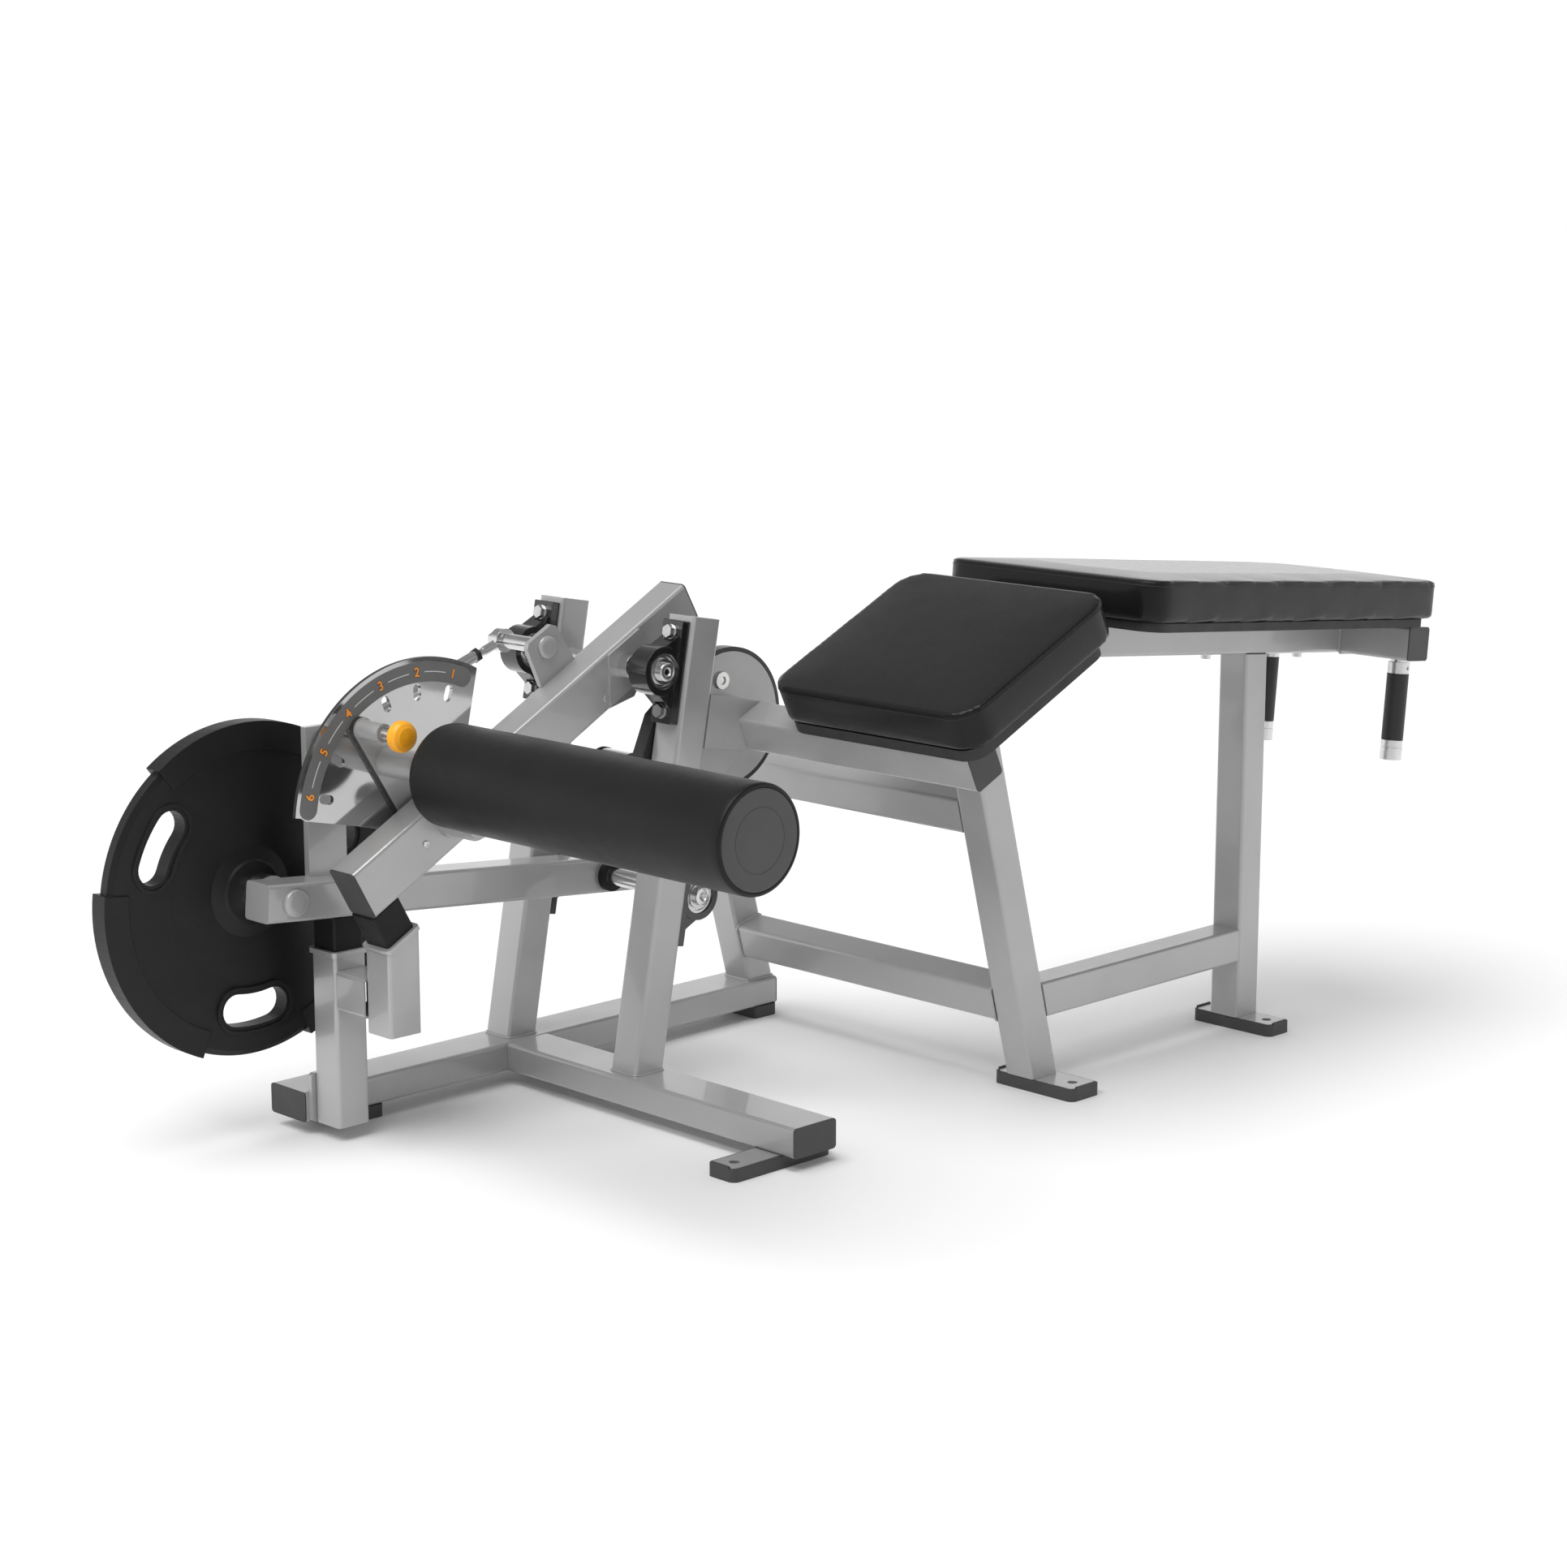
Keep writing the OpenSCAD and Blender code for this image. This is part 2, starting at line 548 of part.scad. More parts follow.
module weight_plate() color(black) place() warm() translate([-535, 35, 0]) rotate([0, -warm_a, 0])
  difference() {
    union() {
      rotate([-90, 0, 0]) rotate_extrude($fn = 128) polygon([[25.3, 0.5], [26, 0], [40, 0], [43, 3],
        [60, 8], [116, 8], [192, 4], [208, 4], [215.5, 9], [215.5, 23], [208, 28], [192, 28], [116, 23],
        [60, 23], [43, 28], [40, 31], [26, 31], [25.3, 30.5]]);
      for (k = [90, 210, 330]) translate([0, 1.5, 0]) plate_y(28.5)
        polygon(concat(arc(plate_d / 2, k - 37.5, k + 37.5, 24), arc(186, k + 37.5, k - 37.5, 24)));
      for (k = [30, 150, 270]) translate([0, 2.5, 0]) plate_y(26.5)
        polygon(bean(156, 31, k - 10.5, k + 10.5, 8));
    }
    for (k = [30, 150, 270]) {
      translate([0, -5, 0]) plate_y(45) polygon(bean(156, 21.5, k - 10.5, k + 10.5, 8));
      translate([0, -5, 0]) plate_y(10) polygon(bean(156, 26.5, k - 10.5, k + 10.5, 8));
    }
  }

long_base_tube();
cross_base_tube();
near_upright();
far_upright();
near_leg();
far_leg();
head_leg();
low_brace();
upper_crossbeam();
side_beam();
hip_beam();
hip_gusset();
hip_tube();
hip_rail();
torso_beam();
handle_beam();
handle_posts();
handle_collars();
handle_grips();
handle_caps();
stop_post();
lever_stop();
stop_bumpers();
foot_plates();
rubber_feet();
tube_caps();
upper_bearings();
lower_bearings();
bearing_inserts();
bearing_bolts();
guard_plate();
guard_face();
guard_bolt();
stop_bar();
stop_ring();
hip_pad();
hip_board();
torso_pad();
torso_board();
pad_bolts();
lever_arm();
lever_caps();
knee_shaft();
rod_bracket();
rod_pin();
hub_tube();
hub_bushing();
dial_plate();
dial_band();
swing_plate();
roller_axle();
plunger();
knob();
roller_foam();
roller_ends();
weight_arm();
lower_shaft();
plate_horn();
connecting_rod();
weight_plate();
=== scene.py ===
import json
import math
import random

import bmesh
import bpy
from mathutils import Matrix, Vector, noise
from mathutils.bvhtree import BVHTree


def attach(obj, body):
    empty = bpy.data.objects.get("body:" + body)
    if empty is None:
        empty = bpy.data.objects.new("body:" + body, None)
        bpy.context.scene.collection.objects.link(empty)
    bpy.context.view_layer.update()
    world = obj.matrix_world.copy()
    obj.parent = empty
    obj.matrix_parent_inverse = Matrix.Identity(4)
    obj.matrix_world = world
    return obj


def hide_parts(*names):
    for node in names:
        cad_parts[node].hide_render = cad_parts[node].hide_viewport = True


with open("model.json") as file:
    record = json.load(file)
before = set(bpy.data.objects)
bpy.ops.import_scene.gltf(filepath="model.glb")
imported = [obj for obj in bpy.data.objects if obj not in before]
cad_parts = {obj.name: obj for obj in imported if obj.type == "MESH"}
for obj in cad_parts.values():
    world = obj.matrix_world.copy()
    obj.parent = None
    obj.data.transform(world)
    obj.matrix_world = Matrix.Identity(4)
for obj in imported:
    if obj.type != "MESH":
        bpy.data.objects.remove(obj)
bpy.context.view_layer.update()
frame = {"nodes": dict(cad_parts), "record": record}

NODES = frame["nodes"]
rng = random.Random(7)

# ---- frames of reference, in millimetres like the CAD source ------------------------------


def shift(x, y, z):
    return Matrix.Translation((x, y, z))


def turn(degrees, axis="Y"):
    return Matrix.Rotation(math.radians(degrees), 4, axis)


MM = 0.001
PLACE = Matrix.Diagonal((MM, MM, MM, 1)) @ shift(-304.5, 292.5, 0)
KNEE, LOWER = (78, 0, 595.5), (140, 0, 283)          # the two shafts that the moving arms turn on
LEVER_SLOPE, ROD_SLOPE = 29, 19.368
PIN = (-75, 77)                                      # the rod's upper pin on the lever
LEVER = shift(*KNEE) @ turn(-LEVER_SLOPE)
HUB = LEVER @ shift(-339, 0, 0)
FRAMES = {
    "world": Matrix(),
    "leg": shift(507.08, 0, 18) @ turn(-15),
    "hip": shift(237, 0, 505) @ turn(-25),
    "torso": shift(936, 0, 584.1) @ turn(5.4),
    "lever": LEVER,
    "hub": HUB @ turn(LEVER_SLOPE),
    "swing": HUB @ turn(-100),
    "warm": shift(*LOWER) @ turn(5.12),
    "rod": LEVER @ shift(PIN[0], -28, PIN[1]) @ turn(LEVER_SLOPE - ROD_SLOPE),
}
NEAR_Y, FAR_Y, LEG_Y = -218, 45, -512                # planes of the near, far and head-end tubes
UPRIGHT_X, UPRIGHT_LEAN = 38.95, 10.4
ROLLER_R = 95.3                                      # roller axle from the swing arm's pivot


# ---- materials ---------------------------------------------------------------------------
class Graph:
    """A node tree around one Principled shader."""

    def __init__(self, name):
        self.mat = bpy.data.materials.new(name)
        self.mat.use_nodes = True
        self.tree = self.mat.node_tree
        self.tree.nodes.clear()
        self.bsdf = self.add("BsdfPrincipled")
        out = self.add("OutputMaterial")
        self.link(self.bsdf.outputs[0], out.inputs[0])
        self.coord = self.add("TexCoord").outputs["Object"]

    def add(self, kind, props=None, **inputs):
        node = self.tree.nodes.new("ShaderNode" + kind)
        for key, value in (props or {}).items():
            setattr(node, key, value)
        for key, value in inputs.items():
            self.put(node, key.replace("_", " "), value)
        return node

    def put(self, node, key, value):
        socket = node.inputs[int(key)] if key.isdigit() else node.inputs[key]
        if isinstance(value, bpy.types.NodeSocket):
            self.link(value, socket)
        else:
            socket.default_value = value

    def link(self, a, b):
        self.tree.links.new(a, b)

    def noise(self, scale, detail=3.0, rough=0.5, stretch=None):
        vector = self.coord
        if stretch:
            vector = self.add("Mapping", Vector=self.coord, Scale=stretch).outputs[0]
        node = self.add("TexNoise", Vector=vector, Scale=scale, Detail=detail, Roughness=rough)
        return node.outputs["Fac"]

    def ramp(self, value, low, high, a, b):
        node = self.add("MapRange", {"clamp": True})
        sockets = ("Value", "From Min", "From Max", "To Min", "To Max")
        for key, v in zip(sockets, (value, low, high, a, b)):
            self.put(node, key, v)
        return node.outputs[0]

    def math(self, op, a, b=0.0):
        node = self.add("Math", {"operation": op})
        self.put(node, "0", a)
        self.put(node, "1", b)
        return node.outputs[0]

    def mix(self, factor, a, b):
        node = self.add("Mix", {"data_type": "RGBA"})
        self.put(node, "0", factor)
        self.put(node, "6", a)
        self.put(node, "7", b)
        return node.outputs[2]

    def bump(self, height, strength, distance, normal=None):
        node = self.add("Bump", Height=height, Strength=strength, Distance=distance)
        if normal is not None:
            self.link(normal, node.inputs["Normal"])
        return node.outputs[0]


def grey(v, warm=0.0):
    return (v * (1 + warm), v, v * (1 - warm), 1)


def surface(name, dark, light, rough, metal=0.0, coat=0.0, coat_rough=0.1, coat_ior=1.5, spec=0.5,
            sheen=0.0, mottle=6.0, grain=None, peel=None, streak=None, weave=None, cells=None, edge=0.0,
            wear=None, fleck=0.0):
    """One finish. dark..light is the colour range and rough the roughness range. grain, peel, streak,
    weave and cells are the relief layers, each (scale, strength, depth in metres), and streak's last
    value is its stretch. mottle is the scale of the colour variation, fleck the strength of fine specks,
    edge the radius of softened edges in metres and wear (colour, share) what shows on those edges."""
    g = Graph(name)
    b = g.bsdf.inputs
    b["Metallic"].default_value = metal
    b["Specular IOR Level"].default_value = spec
    b["Coat Weight"].default_value = coat
    b["Coat Roughness"].default_value = coat_rough
    b["Coat IOR"].default_value = coat_ior
    b["Sheen Weight"].default_value = sheen
    tone = g.noise(mottle, 4.0, 0.6)
    fine = g.noise(900.0, 2.0, 0.6)
    blend = g.ramp(tone, 0.3, 0.7, 0.0, 1.0)
    if fleck:
        blend = g.math("ADD", blend, g.ramp(fine, 0.35, 0.65, -fleck, fleck))
    color = g.mix(blend, dark, light)
    rough_out = g.ramp(g.noise(22.0, 5.0, 0.65), 0.3, 0.7, rough[0], rough[1])
    normal = None
    if edge:
        soft = g.add("Bevel", {"samples": 4}, Radius=edge).outputs[0]
        normal = soft
        if wear:
            true = g.add("NewGeometry").outputs["True Normal"]
            dot = g.add("VectorMath", {"operation": "DOT_PRODUCT"})
            g.link(soft, dot.inputs[0])
            g.link(true, dot.inputs[1])
            mask = g.ramp(dot.outputs["Value"], 0.99, 0.86, 0.0, 1.0)
            rubbed = g.ramp(g.noise(60.0, 5.0, 0.7), 0.42, 0.6, 0.0, wear[1])
            mask = g.math("MULTIPLY", mask, rubbed)
            color = g.mix(mask, color, wear[0])
    if streak:
        lines = g.noise(streak[0], 2.0, 0.7, stretch=streak[3])
        normal = g.bump(lines, streak[1], streak[2], normal)
        rough_out = g.math("ADD", rough_out, g.ramp(lines, 0.3, 0.7, -0.05, 0.06))
    if cells:
        vor = g.add("TexVoronoi", {"feature": "DISTANCE_TO_EDGE"}, Vector=g.coord, Scale=cells[0])
        pebble = g.ramp(vor.outputs["Distance"], 0.0, 0.25, 0.0, 1.0)
        normal = g.bump(pebble, cells[1], cells[2], normal)
    if weave:
        threads = g.noise(weave[0], 1.0, 0.4, stretch=(1.0, 1.0, 1.4))
        normal = g.bump(threads, weave[1], weave[2], normal)
    if peel:
        normal = g.bump(g.noise(peel[0], 2.0, 0.5), peel[1], peel[2], normal)
    if grain:
        normal = g.bump(g.noise(grain[0], 3.0, 0.6), grain[1], grain[2], normal)
    g.link(color, b["Base Color"])
    g.link(rough_out, b["Roughness"])
    if normal is not None:
        g.link(normal, b["Normal"])
    return g.mat


FINISH = {
    "frame_paint": surface("frame_paint", grey(0.40), grey(0.45), (0.30, 0.38), metal=0.35, coat=0.7,
                           coat_rough=0.045, mottle=5.0, peel=(260.0, 0.12, 0.0004), edge=0.0012,
                           wear=(grey(0.62), 0.35), fleck=0.12),
    "cap_plastic": surface("cap_plastic", grey(0.045), grey(0.058), (0.42, 0.52), spec=0.4, mottle=9.0,
                           grain=(1400.0, 0.25, 0.0003), edge=0.001),
    "foot_rubber": surface("foot_rubber", grey(0.045), grey(0.058), (0.5, 0.62), mottle=14.0,
                           grain=(1500.0, 0.35, 0.0003), edge=0.0012),
    "bumper_rubber": surface("bumper_rubber", grey(0.005), grey(0.008), (0.5, 0.62), spec=0.3, mottle=16.0,
                             grain=(1200.0, 0.35, 0.0004), edge=0.0015),
    "upholstery": surface("upholstery", grey(0.0045), grey(0.0060), (0.34, 0.42), spec=0.16, coat=0.8,
                          coat_rough=0.14, coat_ior=1.22, mottle=10.0, cells=(780.0, 0.35, 0.0003),
                          grain=(2600.0, 0.25, 0.00012)),
    "board": surface("board", grey(0.012), grey(0.02), (0.5, 0.65), mottle=30.0,
                     grain=(700.0, 0.3, 0.0003), edge=0.001),
    "roller_skin": surface("roller_skin", grey(0.004), grey(0.006), (0.34, 0.44), spec=0.26,
                           mottle=8.0, cells=(1500.0, 0.2, 0.0002), peel=(38.0, 0.12, 0.0012)),
    "roller_end": surface("roller_end", grey(0.058), grey(0.068), (0.42, 0.5), spec=0.35, mottle=8.0,
                          grain=(1300.0, 0.22, 0.0003), edge=0.0008),
    "bearing_black": surface("bearing_black", grey(0.006), grey(0.010), (0.16, 0.28), spec=0.6, coat=0.6,
                             coat_rough=0.08, mottle=20.0, peel=(330.0, 0.3, 0.0006), edge=0.0016),
    "steel": surface("steel", grey(0.62), grey(0.72), (0.14, 0.24), metal=1.0, mottle=12.0, edge=0.0005,
                     streak=(60.0, 0.06, 0.0002, (1.0, 14.0, 1.0))),
    "zinc": surface("zinc", grey(0.60, 0.01), grey(0.72, 0.01), (0.24, 0.36), metal=1.0, mottle=70.0,
                    grain=(900.0, 0.08, 0.0002), edge=0.0006),
    "grip_rubber": surface("grip_rubber", grey(0.010), grey(0.014), (0.42, 0.52), mottle=12.0,
                           grain=(1800.0, 0.3, 0.0002), edge=0.0012),
    "alu": surface("alu", grey(0.62), grey(0.74), (0.22, 0.32), metal=1.0, mottle=20.0, edge=0.0006,
                   streak=(120.0, 0.08, 0.0002, (1.0, 1.0, 10.0))),
    "guard_black": surface("guard_black", grey(0.010), grey(0.014), (0.3, 0.4), mottle=12.0, coat=0.2,
                           grain=(1200.0, 0.25, 0.0003), edge=0.0015),
    "knob_orange": surface("knob_orange", (1.0, 0.40, 0.006, 1), (1.0, 0.44, 0.008, 1), (0.42, 0.5),
                           coat=0.1, coat_rough=0.15, mottle=18.0, peel=(240.0, 0.08, 0.0003)),
    "dial_label": surface("dial_label", grey(0.135), grey(0.155), (0.38, 0.46), mottle=10.0,
                          grain=(1600.0, 0.12, 0.0002)),
    "plate_black": surface("plate_black", grey(0.0060), grey(0.0090), (0.36, 0.46), spec=0.3, mottle=7.0,
                           peel=(140.0, 0.18, 0.0008), grain=(1500.0, 0.3, 0.0003), edge=0.0022),
}
ORANGE = surface("dial_orange", (0.90, 0.29, 0.02, 1), (0.95, 0.34, 0.03, 1), (0.4, 0.46), mottle=60.0)
# dark ink for the number outlines, also used as painted shade on the swing plate's edge faces
DARK_INK_AND_EDGE_SHADE = surface("dial_dark", grey(0.02), grey(0.028), (0.42, 0.5), mottle=60.0)
LIGHT_INK = surface("dial_light", grey(0.62), grey(0.70), (0.36, 0.42), mottle=60.0)
DIAL_SILVER = surface("dial_silver", grey(0.46), grey(0.54), (0.05, 0.09), metal=0.88, mottle=6.0,
                      edge=0.0006, peel=(160.0, 0.03, 0.0002))
THREAD = surface("thread_black", grey(0.010), grey(0.016), (0.5, 0.6), mottle=400.0,
                 weave=(2400.0, 0.4, 0.0002), sheen=0.1)
POLISHED = surface("polished_steel", grey(0.70), grey(0.80), (0.07, 0.14), metal=1.0, mottle=10.0,
                   streak=(60.0, 0.04, 0.0002, (1.0, 14.0, 1.0)), edge=0.0006)

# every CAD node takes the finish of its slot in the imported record, and four bright parts a finer one
for part in frame["record"]["subparts"]:
    NODES[part["node"]].data.materials.clear()
    NODES[part["node"]].data.materials.append(FINISH[part["material_slot"]])
for node, finish in (("knee_shaft", POLISHED), ("stop_bar", POLISHED), ("connecting_rod", POLISHED),
                     ("dial_plate", DIAL_SILVER)):
    NODES[node].data.materials[0] = finish


def repaint(node, finish, test, frame_name="world"):
    """Give another finish to a CAD node's faces that pass test(centre, normal), in a frame's mm."""
    mesh = NODES[node].data
    mesh.materials.append(finish)
    back = (PLACE @ FRAMES[frame_name]).inverted()
    spin = back.to_3x3()
    for face in mesh.polygons:
        if test(back @ face.center, (spin @ face.normal).normalized()):
            face.material_index = len(mesh.materials) - 1


# the dial's outer edge darkened, the swing plate's edges painted dark as painted shade of the gap beside
# the plate, the collar on the lower shaft and the rod's lock nut
repaint("dial_plate", DARK_INK_AND_EDGE_SHADE, lambda c, n: abs(n.y) < 0.3 and math.hypot(c.x, c.z) > 196, "hub")
# painted shade: the swing plate's edge faces take the dark finish to stand in for the shadowed gap between
# plate and dial
repaint("swing_plate", DARK_INK_AND_EDGE_SHADE, lambda c, n: abs(n.y) < 0.3 and -103.6 < c.y < -95.9
        and math.hypot(c.x, c.z) > 13, "swing")
repaint("lower_shaft", FINISH["bumper_rubber"], lambda c, n: -61.3 < c.y < -52.7
        and math.hypot(c.x - LOWER[0], c.z - LOWER[2]) > 13)
repaint("connecting_rod", FINISH["bearing_black"], lambda c, n: -52.3 < c.x < -44.7
        and math.hypot(c.y, c.z) > 6.5, "rod")


# ---- mesh helpers ------------------------------------------------------------------------
def lathe(bm, profile, at=Matrix(), n=64, closed=False):
    """Revolve (radius, height) points about the local Z axis."""
    rings = []
    for r, h in profile:
        count = 1 if r < 1e-6 else n
        rings.append([bm.verts.new(at @ Vector((r * math.cos(2 * math.pi * i / n),
                                                r * math.sin(2 * math.pi * i / n), h)))
                      for i in range(count)])
    for a, b in zip(rings, rings[1:] + (rings[:1] if closed else [])):
        for i in range(n):
            j = (i + 1) % n
            corners = [a[i % len(a)], a[j % len(a)], b[j % len(b)], b[i % len(b)]]
            unique = list(dict.fromkeys(corners))
            if len(unique) > 2:
                bm.faces.new(unique)


def sweep(bm, path, radius, sides=8, closed=True, flat=1.0, up=Vector((0, 0, 1))):
    """A round or flattened tube along a path; radius may be a function of the point's index."""
    count, rings = len(path), []
    for i, p in enumerate(path):
        before = path[i - 1] if closed or i else p
        after = path[(i + 1) % count] if closed or i < count - 1 else p
        along = (after - before).normalized()
        side = along.cross(up)
        side = side.normalized() if side.length > 1e-4 else along.orthogonal().normalized()
        top = side.cross(along).normalized()
        r = radius(i) if callable(radius) else radius
        rings.append([bm.verts.new(p + side * (r * math.cos(2 * math.pi * k / sides))
                                   + top * (r * flat * math.sin(2 * math.pi * k / sides)))
                      for k in range(sides)])
    for i in range(count if closed else count - 1):
        a, b = rings[i], rings[(i + 1) % count]
        for k in range(sides):
            m = (k + 1) % sides
            bm.faces.new((a[k], a[m], b[m], b[k]))
    if not closed:
        bm.faces.new(rings[0][::-1])
        bm.faces.new(rings[-1])


def resample(path, step, closed=True):
    """Points every step along a polyline."""
    pts = list(path) + ([path[0]] if closed else [])
    lengths = [(b - a).length for a, b in zip(pts, pts[1:])]
    total = sum(lengths)
    n = max(4, round(total / step))
    out, k, walked = [], 0, 0.0
    for i in range(n if closed else n + 1):
        target = total * i / n
        while k < len(lengths) - 1 and walked + lengths[k] < target:
            walked += lengths[k]
            k += 1
        t = (target - walked) / max(lengths[k], 1e-9)
        out.append(pts[k].lerp(pts[k + 1], min(max(t, 0.0), 1.0)))
    return out


def piece(name, bm, frame_name, body, slot, finish=None, crease=35.0):
    """Turn a bmesh drawn in a frame's millimetres into a piece that rides on a body."""
    bm.transform(PLACE @ FRAMES[frame_name])
    bmesh.ops.recalc_face_normals(bm, faces=bm.faces)
    mesh = bpy.data.meshes.new(name)
    bm.to_mesh(mesh)
    bm.free()
    mesh.polygons.foreach_set("use_smooth", [True] * len(mesh.polygons))
    mesh.set_sharp_from_angle(angle=math.radians(crease))
    ob = bpy.data.objects.new(name, mesh)
    bpy.context.scene.collection.objects.link(ob)
    mesh.materials.append(finish or FINISH[slot])
    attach(ob, body)
    return ob


ARC_STEPS = 10                # points on one rounded corner


def rounded(circles):
    """Corner arcs of the hull of counter-clockwise circles (x, y, r), each as (x, y, r, [angles])."""
    out, edges, n = [], [], len(circles)
    for i in range(n):
        (ax, ay, ar), (bx, by, br) = circles[i], circles[(i + 1) % n]
        d = Vector((bx - ax, by - ay))
        edges.append(math.atan2(d.y, d.x) - math.pi / 2 + math.asin((ar - br) / d.length))
    for i, (x, y, r) in enumerate(circles):
        a0, a1 = edges[i - 1], edges[i]
        while a1 < a0:
            a1 += 2 * math.pi
        out.append((x, y, r, [a0 + (a1 - a0) * k / ARC_STEPS for k in range(ARC_STEPS + 1)]))
    return out


def plan_ring(arcs, inset, z):
    """The outline's points at height z, moved inwards by inset."""
    return [Vector((x + (r - inset) * math.cos(a), y + (r - inset) * math.sin(a), z))
            for x, y, r, angles in arcs for a in angles]


def box_plan(cx, cy, w, h, r):
    """Corner arcs of a rounded rectangle."""
    return rounded([(cx - w / 2 + r, cy - h / 2 + r, r), (cx + w / 2 - r, cy - h / 2 + r, r),
                    (cx + w / 2 - r, cy + h / 2 - r, r), (cx - w / 2 + r, cy + h / 2 - r, r)])


# ---- camera, floor and light -------------------------------------------------------------
EYE = (-2.9805, -2.9455, 1.2400)
LOOK = (0.6907, 0.6973, -0.1916)
LENS, SENSOR = 72.0, 36.0
SKY_BEHIND, SKY_FRONT, SKY_OVERHEAD = 1.05, 0.50, 0.30   # levels on two sides, and the share left overhead
FRONT = (-0.70, -0.70, 0.12)                             # the side that the object faces
SUN_LEVEL, SUN_FROM, SUN_SPREAD = 2.75, (-0.45, -0.05, 1.0), 50
FLOOR_HALF = 40.0


def studio():
    scene = bpy.context.scene
    cam = bpy.data.cameras.new("camera")
    cam.lens, cam.sensor_width, cam.sensor_fit = LENS, SENSOR, "AUTO"
    cam.clip_end = 200.0
    eye = bpy.data.objects.new("camera", cam)
    eye.location = EYE
    eye.rotation_euler = Vector(LOOK).to_track_quat("-Z", "Y").to_euler()
    scene.collection.objects.link(eye)
    scene.camera = eye

    bm = bmesh.new()
    bmesh.ops.create_grid(bm, x_segments=8, y_segments=8, size=FLOOR_HALF)
    mesh = bpy.data.meshes.new("floor")
    bm.to_mesh(mesh)
    bm.free()
    floor = bpy.data.objects.new("floor", mesh)
    scene.collection.objects.link(floor)
    paint = surface("floor", grey(0.945), grey(0.955), (0.55, 0.6), mottle=0.6, spec=0.15)
    mesh.materials.append(paint)

    world = bpy.data.worlds.new("studio")
    scene.world = world
    world.use_nodes = True
    tree = world.node_tree
    back = tree.nodes["Background"]

    def node(kind, op=None, **values):
        """A world node; i0 and i1 are its numbered sockets."""
        n = tree.nodes.new("ShaderNode" + kind)
        if op:
            n.operation = op
        for key, v in values.items():
            slot_in = n.inputs[int(key[1:])] if key[0] == "i" else n.inputs[key.replace("_", " ")]
            if isinstance(v, bpy.types.NodeSocket):
                tree.links.new(v, slot_in)
            else:
                slot_in.default_value = v
        return n

    def between(value, low, high, a, b):
        return node("MapRange", Value=value, From_Min=low, From_Max=high, To_Min=a, To_Max=b).outputs[0]

    # white all round, dimmer on the side that the object faces and dimmer overhead; plain white where seen
    direction = node("TexCoord").outputs["Generated"]
    front = node("VectorMath", "DOT_PRODUCT", i0=direction, i1=FRONT).outputs["Value"]
    room = between(front, 0.05, 0.95, SKY_BEHIND, SKY_FRONT)
    height = node("SeparateXYZ", i0=direction).outputs[2]
    upper = between(height, 0.22, 0.55, 1.0, SKY_OVERHEAD)
    level = node("Math", "MULTIPLY", i0=room, i1=upper).outputs[0]
    seen = node("LightPath").outputs["Is Camera Ray"]
    tree.links.new(between(seen, 0.0, 1.0, level, 1.0), back.inputs["Strength"])
    back.inputs["Color"].default_value = (1, 1, 1, 1)

    sun = bpy.data.lights.new("softbox", "SUN")
    sun.energy, sun.angle = SUN_LEVEL, math.radians(SUN_SPREAD)
    ob = bpy.data.objects.new("softbox", sun)
    ob.rotation_euler = Vector(SUN_FROM).to_track_quat("Z", "Y").to_euler()
    scene.collection.objects.link(ob)
    scene.view_settings.view_transform = "Standard"
    scene.view_settings.look = "None"


studio()


# ---- cushions ----------------------------------------------------------------------------
def inflate(ob, pins, cap, frames=20, pressure=4.0):
    """Swell a closed mesh with cloth pressure, held by the weight pins(point), and apply it. No point
    moves further than cap."""
    start = [v.co.copy() for v in ob.data.vertices]
    group = ob.vertex_groups.new(name="pin")
    for i, v in enumerate(ob.data.vertices):
        w = pins(v.co)
        if w > 0:
            group.add([i], w, "REPLACE")
    mod = ob.modifiers.new("Cloth", "CLOTH")
    cs = mod.settings
    cs.quality = 5
    cs.mass = 0.25
    cs.tension_stiffness = cs.compression_stiffness = 25.0
    cs.shear_stiffness = 12.0
    cs.bending_stiffness = 2.5
    cs.use_pressure = True
    cs.uniform_pressure_force = pressure
    cs.effector_weights.gravity = 0.0
    cs.vertex_group_mass = "pin"
    mod.collision_settings.use_collision = False
    mod.point_cache.frame_start, mod.point_cache.frame_end = 1, frames
    scene = bpy.context.scene
    for f in range(1, frames + 1):
        scene.frame_set(f)
    posed = ob.evaluated_get(bpy.context.evaluated_depsgraph_get())
    moved = [v.co.copy() for v in posed.data.vertices]
    ob.modifiers.remove(mod)
    ob.vertex_groups.remove(group)
    scene.frame_set(1)
    for v, a, b in zip(ob.data.vertices, start, moved):
        d = b - a
        if d.length > cap:
            d = d.normalized() * cap
        v.co = a + d


def applied(ob, kind, **settings):
    """Add one modifier, apply it and drop it."""
    mod = ob.modifiers.new(kind, kind)
    for key, value in settings.items():
        setattr(mod, key, value)
    deps = bpy.context.evaluated_depsgraph_get()
    mesh = bpy.data.meshes.new_from_object(ob.evaluated_get(deps))
    ob.modifiers.clear()
    old, ob.data = ob.data, mesh
    bpy.data.meshes.remove(old)


EDGE_RADIUS, SWELL_CAP, FIRM = 5.0, 0.005, 0.85
SEAM_R, STITCH_R, STITCH_STEP = 0.85, 0.42, 4.4


